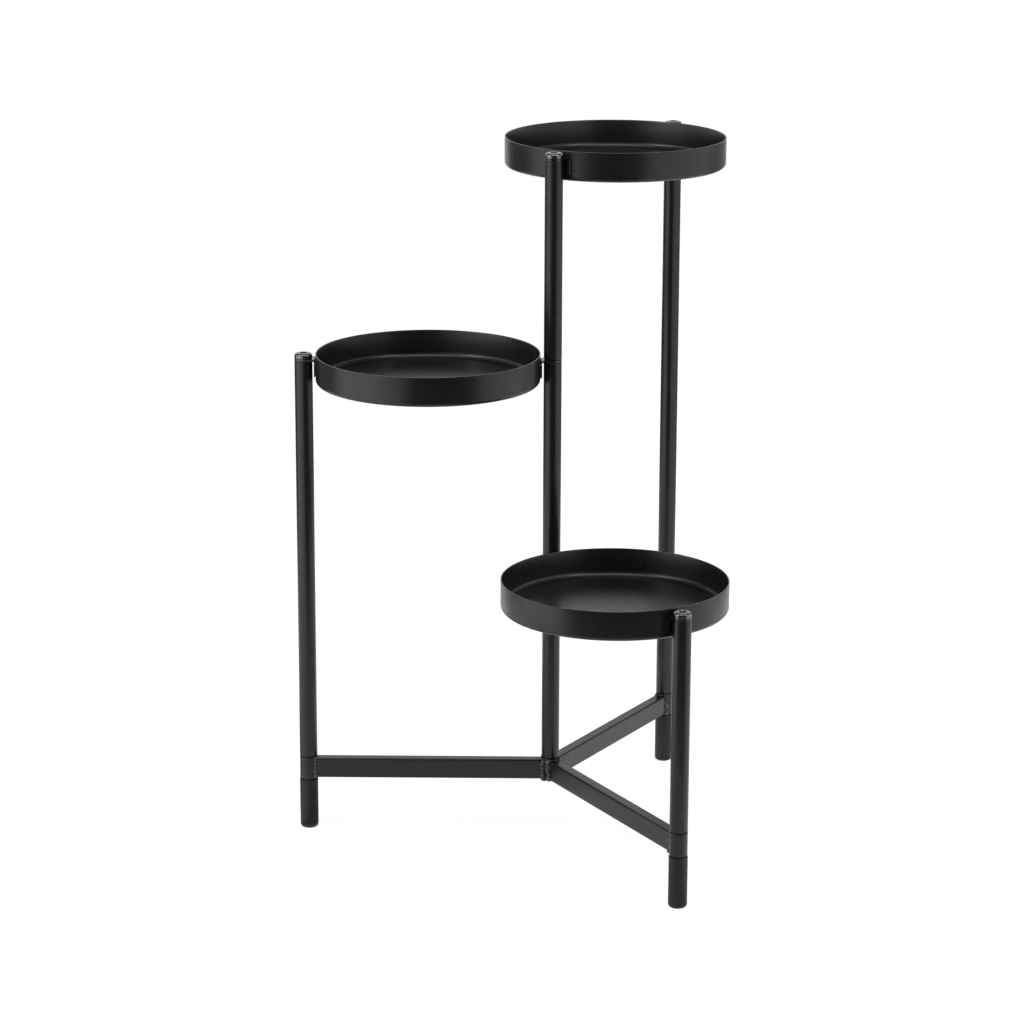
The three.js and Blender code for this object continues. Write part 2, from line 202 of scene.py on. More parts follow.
# Cards that only reflections see. One stands or lies between two azimuths, and between the radii
# and heights of its two edges. Its first shade is at CARD_FOOT and its second from CARD_FADE up.
CARD_LIFT = 0.002
CARDS = {
    "front_screen": {"shades": (0.28, 0.08), "azimuths": (-28, 44), "radii": (0.45, 0.45),
                     "heights": (CARD_LIFT, 0.84)},
    "left_core": {"shades": (1.55, 1.55), "azimuths": (-90, -46), "radii": (0.88, 0.88),
                  "heights": (CARD_LIFT, 0.95)},
    "right_card": {"shades": (0.98, 0.98), "azimuths": (48, 112), "radii": (0.90, 0.90),
                   "heights": (CARD_LIFT, 0.95)},
    "left_back": {"shades": (0.16, 0.16), "azimuths": (-150, -100), "radii": (1.00, 1.00),
                  "heights": (CARD_LIFT, 0.60)},
    "right_back": {"shades": (0.38, 0.38), "azimuths": (112, 150), "radii": (1.00, 1.00),
                   "heights": (CARD_LIFT, 0.60)},
    "back_screen": {"shades": (0.02, 0.02), "azimuths": (150, 210), "radii": (1.00, 1.00),
                    "heights": (CARD_LIFT, 0.25)},
    "left_floor": {"shades": (0.24, 0.24), "azimuths": (-150, -98), "radii": (0.12, 0.42),
                   "heights": (CARD_LIFT, CARD_LIFT)},
    "near_floor": {"shades": (0.45, 0.45), "azimuths": (-150, -64), "radii": (0.05, 0.18),
                   "heights": (2 * CARD_LIFT, 2 * CARD_LIFT)},
    "front_floor": {"shades": (0.74, 0.74), "azimuths": (-62, 44), "radii": (0.01, 0.37),
                    "heights": (CARD_LIFT, CARD_LIFT)},
}
CARD_FOOT = 0.02
CARD_FADE = 0.24
CARD_STEPS = 24


# Where the pieces stand, read from the frame

def node_box(name):
    low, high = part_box(name)
    return Vector(low), Vector(high)


def node_axis(name):
    """The upright line through the middle of a node, as (x, y)."""
    low, high = node_box(name)
    return (low.x + high.x) / 2, (low.y + high.y) / 2


def node_span(name):
    """The heights of a node's bottom and top."""
    low, high = node_box(name)
    return low.z, high.z


POST = Vector((*node_axis("post_lower"), 0))
ARM_LENGTH = (Vector((*node_axis("leg_left"), 0)) - POST).length


# Mesh tools

def arc(centre, radius, start, end, steps=ARC_STEPS):
    """Points of an arc in the outline plane, from one angle to another in degrees."""
    points = []
    for i in range(steps + 1):
        angle = math.radians(start + (end - start) * i / steps)
        points.append((centre[0] + radius * math.cos(angle), centre[1] + radius * math.sin(angle)))
    return points


def mesh_object(name, bm, smooth_angle=SMOOTH_ANGLE):
    """An object from a bmesh, with smooth shading that breaks at its sharp edges."""
    bmesh.ops.recalc_face_normals(bm, faces=bm.faces)
    limit = math.radians(smooth_angle)
    for face in bm.faces:
        face.smooth = True
    for edge in bm.edges:
        edge.smooth = len(edge.link_faces) == 2 and edge.calc_face_angle(0) < limit
    mesh = bpy.data.meshes.new(name)
    bm.to_mesh(mesh)
    bm.free()
    piece = bpy.data.objects.new(name, mesh)
    bpy.context.collection.objects.link(piece)
    return piece


def turned(outline, sides, closed=False):
    """A solid turned about Z from (radius, height) points: open outlines start and end on the
    axis, closed ones come back to their first point."""
    bm = bmesh.new()
    rings = []
    for radius, height in outline:
        if radius == 0:
            rings.append([bm.verts.new((0, 0, height))])
            continue
        ring = []
        for i in range(sides):
            angle = 2 * math.pi * i / sides
            ring.append(bm.verts.new((radius * math.cos(angle), radius * math.sin(angle), height)))
        rings.append(ring)
    pairs = list(zip(rings, rings[1:]))
    if closed:
        pairs.append((rings[-1], rings[0]))
    for lower, upper in pairs:
        for i in range(sides):
            j = (i + 1) % sides
            corners = [lower[i % len(lower)], lower[j % len(lower)],
                       upper[j % len(upper)], upper[i % len(upper)]]
            bm.faces.new(list(dict.fromkeys(corners)))
    return bm


def moved(bm, x=0, y=0, z=0, angle=0):
    """Turns a mesh about Z and then moves it."""
    bm.transform(Matrix.Translation((x, y, z)) @ Matrix.Rotation(angle, 4, "Z"))
    return bm


def copied_mesh(piece):
    bm = bmesh.new()
    bm.from_mesh(piece.data)
    return bm


def apply_modifiers(piece):
    """Turns what the modifiers make of a piece into its own mesh."""
    bpy.context.view_layer.update()
    depsgraph = bpy.context.evaluated_depsgraph_get()
    mesh = bpy.data.meshes.new_from_object(piece.evaluated_get(depsgraph))
    piece.modifiers.clear()
    piece.data = mesh


def cut_with(piece, cutter):
    """Cuts one closed mesh object out of another and deletes the cutter."""
    modifier = piece.modifiers.new("cut", "BOOLEAN")
    modifier.operation = "DIFFERENCE"
    modifier.solver = "EXACT"
    modifier.object = cutter
    apply_modifiers(piece)
    bpy.data.objects.remove(cutter)


def round_edges(piece, width, segments, angle):
    """Rounds the edges that turn by more than an angle in degrees."""
    modifier = piece.modifiers.new("rounded_edges", "BEVEL")
    modifier.width = width
    modifier.segments = segments
    modifier.limit_method = "ANGLE"
    modifier.angle_limit = math.radians(angle)
    apply_modifiers(piece)


def add_piece(name, bm, material, slot, *nodes, smooth_angle=SMOOTH_ANGLE):
    """A finished piece that rides on the stand and stands for its CAD nodes."""
    piece = mesh_object(name, bm, smooth_angle)
    piece.data.materials.append(material)
    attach(piece, "root")
    if nodes:
        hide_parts(*nodes)
    return piece


# Materials

def new_material(name):
    """A material, its nodes and links, and the shader to set."""
    material = bpy.data.materials.new(name)
    material.use_nodes = True
    nodes = material.node_tree.nodes
    shader = nodes["Principled BSDF"]
    return material, nodes, material.node_tree.links, shader


def add_noise(nodes, links, scale, detail=2.0, roughness=0.5):
    """Noise over the object's own coordinates; scale is in waves per metre."""
    coordinates = nodes.new("ShaderNodeTexCoord")
    pattern = nodes.new("ShaderNodeTexNoise")
    pattern.inputs["Scale"].default_value = scale
    pattern.inputs["Detail"].default_value = detail
    pattern.inputs["Roughness"].default_value = roughness
    links.new(coordinates.outputs["Object"], pattern.inputs["Vector"])
    return pattern.outputs["Fac"]


def map_range(nodes, links, value, low, high, from_low=0.3, from_high=0.7):
    """Maps a value onto low to high. Noise hardly leaves 0.3 to 0.7."""
    node = nodes.new("ShaderNodeMapRange")
    node.inputs["From Min"].default_value = from_low
    node.inputs["From Max"].default_value = from_high
    node.inputs["To Min"].default_value = low
    node.inputs["To Max"].default_value = high
    links.new(value, node.inputs["Value"])
    return node.outputs["Result"]


def vary_colour(nodes, links, shader, pattern, dark, light):
    """A base colour that drifts with a pattern from dark to light."""
    node = nodes.new("ShaderNodeMix")
    node.data_type = "RGBA"
    node.inputs["A"].default_value = (*dark, 1)
    node.inputs["B"].default_value = (*light, 1)
    links.new(map_range(nodes, links, pattern, 0, 1), node.inputs["Factor"])
    links.new(node.outputs["Result"], shader.inputs["Base Color"])


def vary_roughness(nodes, links, shader, pattern, low, high):
    links.new(map_range(nodes, links, pattern, low, high), shader.inputs["Roughness"])


def add_bump(nodes, links, shader, pattern, distance):
    node = nodes.new("ShaderNodeBump")
    node.inputs["Distance"].default_value = distance
    node.inputs["Strength"].default_value = 1
    links.new(pattern, node.inputs["Height"])
    links.new(node.outputs["Normal"], shader.inputs["Normal"])


def powder_coat(name, tint=1.0, roughness=0.30, grain=0.04 * MM, ior=1.5):
    """Satin black powder coat: fine orange peel, with sheen and shade that drift a little."""
    material, nodes, links, shader = new_material(name)
    vary_colour(nodes, links, shader, add_noise(nodes, links, scale=45, detail=3),
                dark=tuple(tint * c for c in (0.0032, 0.0032, 0.0034)),
                light=tuple(tint * c for c in (0.0048, 0.0047, 0.0048)))
    sheen = add_noise(nodes, links, scale=320, detail=4, roughness=0.6)
    vary_roughness(nodes, links, shader, sheen, low=roughness - 0.04, high=roughness + 0.05)
    add_bump(nodes, links, shader, add_noise(nodes, links, scale=1100), grain)
    shader.inputs["IOR"].default_value = ior
    return material


def black_oxide(name):
    """The screws' glossy black finish, with a slightly uneven sheen."""
    material, nodes, links, shader = new_material(name)
    vary_colour(nodes, links, shader, add_noise(nodes, links, scale=500, detail=3),
                dark=(0.004, 0.004, 0.004), light=(0.008, 0.0075, 0.0075))
    sheen = add_noise(nodes, links, scale=900, detail=4)
    vary_roughness(nodes, links, shader, sheen, low=0.07, high=0.14)
    add_bump(nodes, links, shader, add_noise(nodes, links, scale=2400), 0.01 * MM)
    shader.inputs["IOR"].default_value = 2.3
    return material


def socket_painted_shade(name):
    """The bottom and sides of the screws' sockets: matt, and a darker black than the screws as
    painted shade in the recess.
    """
    material, nodes, links, shader = new_material(name)
    vary_colour(nodes, links, shader, add_noise(nodes, links, scale=900, detail=3),
                dark=(0.002, 0.002, 0.002), light=(0.004, 0.004, 0.004))
    shader.inputs["Roughness"].default_value = 0.55
    shader.inputs["Specular IOR Level"].default_value = 0.3
    return material


def moulded_plastic(name):
    """The feet: a matt black plastic with a fine moulded grain."""
    material, nodes, links, shader = new_material(name)
    vary_colour(nodes, links, shader, add_noise(nodes, links, scale=80),
                dark=(0.0030, 0.0030, 0.0032), light=(0.0046, 0.0045, 0.0046))
    sheen = add_noise(nodes, links, scale=600, detail=3)
    vary_roughness(nodes, links, shader, sheen, low=0.44, high=0.54)
    add_bump(nodes, links, shader, add_noise(nodes, links, scale=2600, roughness=0.7), 0.02 * MM)
    shader.inputs["IOR"].default_value = 1.49
    shader.inputs["Specular IOR Level"].default_value = 0.42
    return material


def zinc_plate(name):
    """Bright zinc on the studs and inserts inside the tubes."""
    material, nodes, links, shader = new_material(name)
    vary_colour(nodes, links, shader, add_noise(nodes, links, scale=700, detail=3),
                dark=(0.52, 0.53, 0.55), light=(0.66, 0.66, 0.66))
    sheen = add_noise(nodes, links, scale=1500, detail=3)
    vary_roughness(nodes, links, shader, sheen, low=0.28, high=0.42)
    add_bump(nodes, links, shader, add_noise(nodes, links, scale=3000), 0.01 * MM)
    shader.inputs["Metallic"].default_value = 1
    return material


COAT = powder_coat("powder_coat")
TRAY_COAT = powder_coat("tray_powder_coat", roughness=0.31)
RIM_COAT = powder_coat("tray_rim_coat", roughness=0.17)
BRACKET_COAT = powder_coat("bracket_coat", roughness=0.17, ior=1.75)
# Painted light: the welds' coat is eleven times lighter than the black on the rest, so that their
# lumps show bright as if lit
WELD_PAINTED_LIGHT_COAT = powder_coat("weld_painted_light_coat", tint=11, roughness=0.17, grain=0.03 * MM)
SCREW_BLACK = black_oxide("black_oxide")
# Painted shade: the sockets' darker black stands for the shade inside them
SOCKET_PAINTED_SHADE = socket_painted_shade("socket_painted_shade")
FOOT_BLACK = moulded_plastic("moulded_plastic")
ZINC = zinc_plate("zinc_plate")


# Tubes, feet and trays

def tube_outline(length):
    """Half a tube's section, standing on height 0 and closed on itself."""
    bore = TUBE_RADIUS - TUBE_WALL
    ring = TUBE_RADIUS - SEAM_DEPTH
    edge_radius = TUBE_RADIUS - TUBE_EDGE
    return ([(bore, 0), (ring, 0), (ring, SEAM_GAP)]
            + arc((edge_radius, SEAM_GAP + TUBE_EDGE), TUBE_EDGE, -90, 0)
            + arc((edge_radius, length - SEAM_GAP - TUBE_EDGE), TUBE_EDGE, 0, 90)
            + [(ring, length - SEAM_GAP), (ring, length), (bore, length)])


def add_tube(node):
    x, y = node_axis(node)
    bottom, top = node_span(node)
    bm = turned(tube_outline(top - bottom), ROUND_TUBE, closed=True)
    add_piece(f"{node}_coated", moved(bm, x, y, bottom), COAT, "frame", node)


def add_hub():
    """The hub is a tube with a web across its bore, which the hub's screw bears on."""
    x, y = node_axis("hub_tube")
    bottom, top = node_span("hub_tube")
    bore = TUBE_RADIUS - TUBE_WALL
    web_top = HUB_WEB_HEIGHT + HUB_WEB_THICKNESS
    outline = tube_outline(top - bottom) + [
        (bore, web_top), (FOOT_SOCKET_RADIUS, web_top),
        (FOOT_SOCKET_RADIUS, HUB_WEB_HEIGHT), (bore, HUB_WEB_HEIGHT)]
    bm = turned(outline, ROUND_TUBE, closed=True)
    add_piece("hub_tube_coated", moved(bm, x, y, bottom), COAT, "frame", "hub_tube")


def add_foot(node):
    """A foot has a round lower edge, and a socket from above for its stud."""
    x, y = node_axis(node)
    height = node_span(node)[1]
    socket_floor = height - FOOT_SOCKET_DEPTH
    shoulder = height - SEAM_GAP
    ring = TUBE_RADIUS - SEAM_DEPTH
    outline = ([(0, 0)]
               + arc((FOOT_RADIUS - FOOT_BOTTOM_ROUND, FOOT_BOTTOM_ROUND), FOOT_BOTTOM_ROUND,
                     -90, 0, BEND_STEPS)
               + arc((FOOT_RADIUS - FOOT_EDGE, shoulder - FOOT_EDGE), FOOT_EDGE, 0, 90)
               + [(ring, shoulder), (ring, height), (FOOT_SOCKET_RADIUS, height),
                  (FOOT_SOCKET_RADIUS, socket_floor), (0, socket_floor)])
    bm = moved(turned(outline, ROUND_TUBE), x, y)
    add_piece(f"{node}_moulded", bm, FOOT_BLACK, "foot", node)


def tray_outline(depth):
    """Half a pressed tray's section: floor, bend, wall, and a rim that slopes inwards."""
    centre = (TRAY_RADIUS - TRAY_BEND_RADIUS, TRAY_BEND_RADIUS)
    inner_radius = TRAY_RADIUS - TRAY_SHEET
    inner_centre = (inner_radius - TRAY_INNER_BEND, TRAY_SHEET + TRAY_INNER_BEND)
    rim_radius = TRAY_RADIUS - RIM_WIDTH
    return ([(0, 0), (TRAY_RADIUS / 2, 0)]
            + arc(centre, TRAY_BEND_RADIUS, -90, 0, BEND_STEPS)
            + arc((TRAY_RADIUS - RIM_ROUND, depth - RIM_ROUND), RIM_ROUND, 0, 90)
            + arc((rim_radius + RIM_ROUND, depth - RIM_ROUND), RIM_ROUND, 90, 150)
            + [(inner_radius, depth - RIM_SLOPE_HEIGHT)]
            + arc(inner_centre, TRAY_INNER_BEND, 0, -90, INNER_BEND_STEPS)
            + [(TRAY_RADIUS / 2, TRAY_SHEET), (0, TRAY_SHEET)])


def add_tray(tier):
    """A tray, with the second of its materials on the rim."""
    node = f"tray_{tier}"
    x, y = node_axis(node)
    bottom, top = node_span(node)
    bm = turned(tray_outline(top - bottom), ROUND_TRAY)
    for face in bm.faces:
        if min(vertex.co.z for vertex in face.verts) > top - bottom - RIM_ROUND:
            face.material_index = 1
    tray = add_piece(f"{node}_coated", moved(bm, x, y, bottom), TRAY_COAT, "tray", node)
    tray.data.materials.append(RIM_COAT)


# Bars and their welds

def rounded_rectangle(width, height, corner, side_steps=BAR_SIDE_STEPS):
    """Points round a rectangle centred on the origin, with its straight sides divided up."""
    x, y = width / 2 - corner, height / 2 - corner
    corners = (((x, -y), -90, (width / 2, y)),
               ((x, y), 0, (-x, height / 2)),
               ((-x, y), 90, (-width / 2, -y)),
               ((-x, -y), 180, (x, -height / 2)))
    points = []
    for centre, start, side_end in corners:
        points += arc(centre, corner, start, start + 90, BAR_CORNER_STEPS)
        last = Vector(points[-1])
        step = (Vector(side_end) - last) / side_steps
        points += [tuple(last + step * i) for i in range(1, side_steps)]
    return points


def saddle(across):
    """How far the tube's wall stands out from its axis, at a distance across it."""
    return math.sqrt(TUBE_RADIUS ** 2 - across ** 2)


def bar_mesh(height):
    """A rectangular tube along +X between two upright tubes, with both ends cut to fit them."""
    outer = rounded_rectangle(BAR_WIDTH, height, BAR_CORNER)
    inner = rounded_rectangle(BAR_WIDTH - 2 * BAR_WALL, height - 2 * BAR_WALL, BAR_INNER_CORNER)
    bm = bmesh.new()
    loops = []
    for outline, at_hub in ((outer, True), (outer, False), (inner, False), (inner, True)):
        loop = []
        for y, z in outline:
            x = saddle(y) if at_hub else ARM_LENGTH - saddle(y)
            loop.append(bm.verts.new((x, y, z)))
        loops.append(loop)
    for first, second in zip(loops, loops[1:] + loops[:1]):
        for i in range(len(first)):
            j = (i + 1) % len(first)
            bm.faces.new((first[i], first[j], second[j], second[i]))
    return bm


def bead_size(point, turn, seed):
    """Two shares of a bead's radius: how far its ripples swell at a point, and what is left of
    the bead there, which is little on the top and bottom, where the joint is ground flush. turn
    counts the ripples up to the point."""
    drift = noise.noise(Vector((seed, point.y * BEAD_DRIFT_WAVES, point.z * BEAD_DRIFT_WAVES)))
    phase = (turn + BEAD_DRIFT * drift) % 1
    crest = BEAD_VALLEY + BEAD_CREST * math.sin(math.pi * phase) ** BEAD_CREST_POWER
    outwards = abs(point.y) / (BAR_WIDTH / 2)
    upright = min(max((outwards - BEAD_GROWS_FROM) / (1 - BEAD_GROWS_FROM), 0), 1)
    return crest, GROUND_SHARE + (1 - GROUND_SHARE) * upright


def weld_bead(height, radius, ripple, roughness, lead, seed):
    """A bead round the hub's end of a bar that lies along +X. height is the bar's, and the rest
    is the bead's own."""
    outline = rounded_rectangle(BAR_WIDTH, height, BAR_CORNER, BEAD_PATH_STEPS)
    path = [Vector((saddle(y) + lead, y, z)) for y, z in outline]
    lengths = [0.0]
    for a, b in zip(path, path[1:] + path[:1]):
        lengths.append(lengths[-1] + (b - a).length)
    total = lengths[-1]

    def at(distance):
        distance %= total
        for i, end in enumerate(lengths[1:]):
            if distance <= end:
                a, b = path[i], path[(i + 1) % len(path)]
                return a.lerp(b, (distance - lengths[i]) / (end - lengths[i]))
        return path[0]

    count = int(total / BEAD_STEP)
    ripples = max(1, round(total / ripple))
    bm = bmesh.new()
    rings = []
    for k in range(count):
        distance = total * k / count
        point = at(distance)
        tangent = (at(distance + BEAD_STEP) - at(distance - BEAD_STEP)).normalized()
        outward = Vector((0, point.y, point.z))
        outward = (outward - tangent * outward.dot(tangent)).normalized()
        side = tangent.cross(outward)
        crest, share = bead_size(point, distance / total * ripples, seed)
        swell = noise.noise(Vector((seed, point.y * BEAD_SWELL_WAVES, point.z * BEAD_SWELL_WAVES)))
        ring = []
        for m in range(BEAD_SIDES):
            angle = 2 * math.pi * m / BEAD_SIDES
            direction = outward * math.cos(angle) + side * math.sin(angle)
            place = point + direction * radius
            lump = noise.noise(place * BEAD_LUMP_WAVES + Vector((seed, 0, 0)))
            size = radius * share * (crest + roughness * (BEAD_SWELL * swell + lump))
            ring.append(bm.verts.new(point + direction * max(size, THINNEST_BEAD)))
        rings.append(ring)
    for k in range(count):
        first, second = rings[k], rings[(k + 1) % count]
        for m in range(BEAD_SIDES):
            n = (m + 1) % BEAD_SIDES
            bm.faces.new((first[m], first[n], second[n], second[m]))
    return bm


def add_bar(side, index):
    """A bar with the bead at each of its ends."""
    node = f"bar_{side}"
    bottom, top = node_span(node)
    place = (POST.x, POST.y, (bottom + top) / 2, ARM_ANGLE[side])
    add_piece(f"{node}_coated", moved(bar_mesh(top - bottom), *place), COAT, "frame", node)
    for end, values in BEADS.items():
        first_seed, seed_step = BEAD_SEEDS[end]
        bead = weld_bead(top - bottom, seed=first_seed + seed_step * index, **values)
        if end == "collar":
            bead.transform(Matrix.Rotation(math.pi, 4, "Z"))
            bead.transform(Matrix.Translation((ARM_LENGTH, 0, 0)))
        # The beads take the lightened coat, a painted highlight
        add_piece(f"weld_{end}_{side}", moved(bead, *place), WELD_PAINTED_LIGHT_COAT, "frame",
                  smooth_angle=SMOOTH_ANGLE_WELD)


# Brackets

def bracket_half_width(radius, drop):
    """Half the strip's width at a point of its section: radius from the tray's axis, and drop
    below the lug's top."""
    tube_axis = ARM_LENGTH / 2
    if radius > tube_axis:
        x = (radius ** 2 + tube_axis ** 2 - TUBE_RADIUS ** 2) / (2 * tube_axis)
        return min(TUBE_RADIUS, math.sqrt(max(radius ** 2 - x ** 2, 0)))
    if drop < FOLD_RADIUS:
        return TUBE_RADIUS
    into_corner = max(FOLD_RADIUS + PLATE_CORNER - drop, drop - PLATE_HEIGHT + PLATE_CORNER, 0)
    square = max(PLATE_CORNER ** 2 - into_corner ** 2, 0)
    width = PLATE_WIDTH / 2 - PLATE_CORNER + math.sqrt(square)
    return max(width, TUBE_RADIUS) if drop < PLATE_HEIGHT / 2 else width


def bracket_section():
    """Pairs of points of the folded strip's two faces, from the plate's lower edge to the
    lug's round end, as (radius, height) with the lug's top at height 0."""
    wall_side = TRAY_RADIUS + PLATE_TO_TRAY
    outer_side = wall_side + PLATE_THICKNESS
    tube_axis = ARM_LENGTH / 2
    tip = tube_axis + TUBE_RADIUS

    def plate_row(height):
        return (wall_side, height), (outer_side, height)

    def lug_row(radius):
        return (radius, 0), (radius, -LUG_THICKNESS)

    pairs = []
    for angle in range(0, 91, CORNER_TURN):
        drop = PLATE_HEIGHT - PLATE_CORNER * (1 - math.cos(math.radians(angle)))
        pairs.append(plate_row(-drop))
    start = pairs[-1][0][1]
    for i in range(1, PLATE_ROWS + 1):
        rise = (-FOLD_RADIUS - PLATE_TO_FOLD - start) * i / PLATE_ROWS
        pairs.append(plate_row(start + rise))
    outer_fold = arc((wall_side + FOLD_RADIUS, -FOLD_RADIUS), FOLD_RADIUS, 180, 90, BEND_STEPS)
    inner_centre = (outer_side + INNER_FOLD_RADIUS, -LUG_THICKNESS - INNER_FOLD_RADIUS)
    inner_fold = arc(inner_centre, INNER_FOLD_RADIUS, 180, 90, BEND_STEPS)
    pairs += list(zip(outer_fold, inner_fold))
    start = pairs[-1][0][0]
    for i in range(1, LUG_ROWS + 1):
        pairs.append(lug_row(start + (tube_axis - start) * i / LUG_ROWS))
    for angle in range(CORNER_TURN, 90, CORNER_TURN):
        pairs.append(lug_row(tube_axis + (tip - tube_axis) * math.sin(math.radians(angle))))
    pairs.append(lug_row(tip - TIP_INSET))
    return pairs


def bracket_mesh():
    """The strip as a grid, with the tray's axis on x = 0 and the lug towards +X."""
    bm = bmesh.new()
    strip = []
    for face in (0, 1):
        rows = []
        for pair in bracket_section():
            radius, height = pair[face]
            half_width = bracket_half_width(pair[0][0], -pair[0][1])
            row = []
            for k in range(BRACKET_COLUMNS + 1):
                y = half_width * (2 * k / BRACKET_COLUMNS - 1)
                row.append(bm.verts.new((math.sqrt(radius ** 2 - y ** 2), y, height)))
            rows.append(row)
        strip.append(rows)
    outer, inner = strip
    for rows in strip:
        for first, second in zip(rows, rows[1:]):
            for k in range(BRACKET_COLUMNS):
                bm.faces.new((first[k], first[k + 1], second[k + 1], second[k]))
    for k in range(BRACKET_COLUMNS):
        for row in (0, -1):
            bm.faces.new((outer[row][k], outer[row][k + 1], inner[row][k + 1], inner[row][k]))
    for row in range(len(outer) - 1):
        for k in (0, -1):
            bm.faces.new((outer[row][k], outer[row + 1][k], inner[row + 1][k], inner[row][k]))
    return bm


def master_bracket():
    """One finished bracket, from which the six are copied."""
    piece = mesh_object("bracket_master", bracket_mesh())
    below, above = -3 * LUG_THICKNESS, 2 * LUG_THICKNESS
    hole = turned([(0, below), (LUG_HOLE_RADIUS, below), (LUG_HOLE_RADIUS, above), (0, above)],
                  ROUND_HOLE)
    cut_with(piece, mesh_object("lug_hole", moved(hole, ARM_LENGTH / 2)))
    round_edges(piece, BRACKET_EDGE, segments=3, angle=40)
    return piece


def add_brackets():
    master = master_bracket()
    for side in SIDES:
        tier = TIER_OF_SIDE[side]
        x, y = node_axis(f"tray_{tier}")
        for end, turn in (("leg", 0), ("post", math.pi)):
            node = f"bracket_{tier}_{end}"
            lug_top = node_span(node)[1]
            bm = moved(copied_mesh(master), x, y, lug_top, ARM_ANGLE[side] + turn)
            add_piece(f"{node}_coated", bm, BRACKET_COAT, "bracket", node)
    bpy.data.objects.remove(master)


# Screws

def screw_outline(shank):
    """Half the section of a domed screw whose head stands on height 0."""
    dome = []
    for i in range(DOME_STEPS + 1):
        angle = math.pi / 2 * i / DOME_STEPS
        dome.append((HEAD_FLAT_RADIUS + (TUBE_RADIUS - HEAD_FLAT_RADIUS) * math.cos(angle),
                     HEAD_SKIRT + (HEAD_HEIGHT - HEAD_SKIRT) * math.sin(angle)))
    return ([(0, -shank), (SHANK_RADIUS - HEAD_EDGE, -shank), (SHANK_RADIUS, HEAD_EDGE - shank),
             (SHANK_RADIUS, 0)]
            + arc((TUBE_RADIUS - HEAD_EDGE, HEAD_EDGE), HEAD_EDGE, -90, 0, HEAD_EDGE_STEPS)
            + dome + [(0, HEAD_HEIGHT)])


def hexagonal_cutter():
    """The socket, with a small countersink at its mouth."""
    corner = SOCKET_ACROSS_FLATS / 2 / math.cos(math.pi / 6)
    bottom = HEAD_HEIGHT - SOCKET_DEPTH
    above = HEAD_HEIGHT + SOCKET_MOUTH
    return turned([(0, bottom), (corner, bottom), (corner, HEAD_HEIGHT - SOCKET_MOUTH),
                   (corner + 2 * SOCKET_MOUTH, above), (0, above)], 6)


def master_screw():
    """One finished screw, from which the four are copied, and its shank's length."""
    bottom, top = node_span("cap_screw_left")
    shank = top - bottom - HEAD_HEIGHT
    piece = mesh_object("screw_master", turned(screw_outline(shank), ROUND_SCREW))
    cut_with(piece, mesh_object("hexagon", hexagonal_cutter()))
    round_edges(piece, SCREW_EDGE, segments=2, angle=35)
    return piece, shank


def in_socket(face):
    middle = face.calc_center_median()
    reach = SOCKET_ACROSS_FLATS / 2 + 0.1 * MM
    mouth = HEAD_HEIGHT - 0.25 * MM
    return math.hypot(middle.x, middle.y) < reach and 0 < middle.z < mouth


def add_screws():
    """The four screws, each turned by its own amount, with a matt, darker black in their sockets
    as painted shade.
    """
    master, shank = master_screw()
    for index, end in enumerate((*SIDES, "post")):
        node = f"cap_screw_{end}"
        x, y = node_axis(node)
        bm = copied_mesh(master)
        for face in bm.faces:
            face.material_index = int(in_socket(face))
        moved(bm, x, y, node_span(node)[0] + shank, FIRST_SCREW_TURN + NEXT_SCREW_TURN * index)
        screw = add_piece(f"{node}_black", bm, SCREW_BLACK, "screw", node,
                          smooth_angle=SMOOTH_ANGLE_SCREW)
        screw.data.materials.append(SOCKET_PAINTED_SHADE)
    bpy.data.objects.remove(master)


def finish_inner_nodes():
    """The studs, inserts and the hub's screw keep their solids and get their finish."""
    for name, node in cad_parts.items():
        if "insert" in name or "stud" in name:
            material = ZINC
        elif name == "hub_screw":
            material = SCREW_BLACK
        else:
            continue
        node.data.materials.clear()
        node.data.materials.append(material)


# The studio

def seen_directly(nodes, links):
    """1 for what the camera, or a reflection, sees and 0 for light that falls on surfaces."""
    path = nodes.new("ShaderNodeLightPath")
    total = path.outputs["Is Camera Ray"]
    for other in ("Is Glossy Ray", "Is Transmission Ray"):
        node = nodes.new("ShaderNodeMath")
        node.operation = "MAXIMUM"
        links.new(total, node.inputs[0])
        links.new(path.outputs[other], node.inputs[1])
        total = node.outputs[0]
    return total


def shade_by_height(nodes, links, coordinates, low, high, start, end):
    """A shade that goes from low at one height, or sine of an elevation, to high at another."""
    place = nodes.new("ShaderNodeTexCoord")
    split = nodes.new("ShaderNodeSeparateXYZ")
    links.new(place.outputs[coordinates], split.inputs["Vector"])
    return map_range(nodes, links, split.outputs["Z"], low, high, start, end)


def mix_shaders(nodes, links, share, first, second, output):
    mix = nodes.new("ShaderNodeMixShader")
    links.new(share, mix.inputs["Fac"])
    links.new(first.outputs[0], mix.inputs[1])
    links.new(second.outputs[0], mix.inputs[2])
    links.new(mix.outputs[0], output.inputs["Surface"])


def build_world():
    """A backdrop that the camera and reflections see, white up to CEILING_START and dim above
    CEILING_END like a studio's ceiling, and an even soft light on surfaces."""
    world = bpy.data.worlds.new("studio")
    bpy.context.scene.world = world
    world.use_nodes = True
    nodes, links = world.node_tree.nodes, world.node_tree.links
    nodes.clear()
    room = nodes.new("ShaderNodeBackground")
    room.inputs["Color"].default_value = (ROOM_SHADE, ROOM_SHADE, ROOM_SHADE, 1)
    backdrop = nodes.new("ShaderNodeBackground")
    start, end = (math.sin(math.radians(angle)) for angle in (CEILING_START, CEILING_END))
    links.new(shade_by_height(nodes, links, "Generated", 1, CEILING_SHADE, start, end),
              backdrop.inputs["Color"])
    mix_shaders(nodes, links, seen_directly(nodes, links), room, backdrop,
                nodes.new("ShaderNodeOutputWorld"))


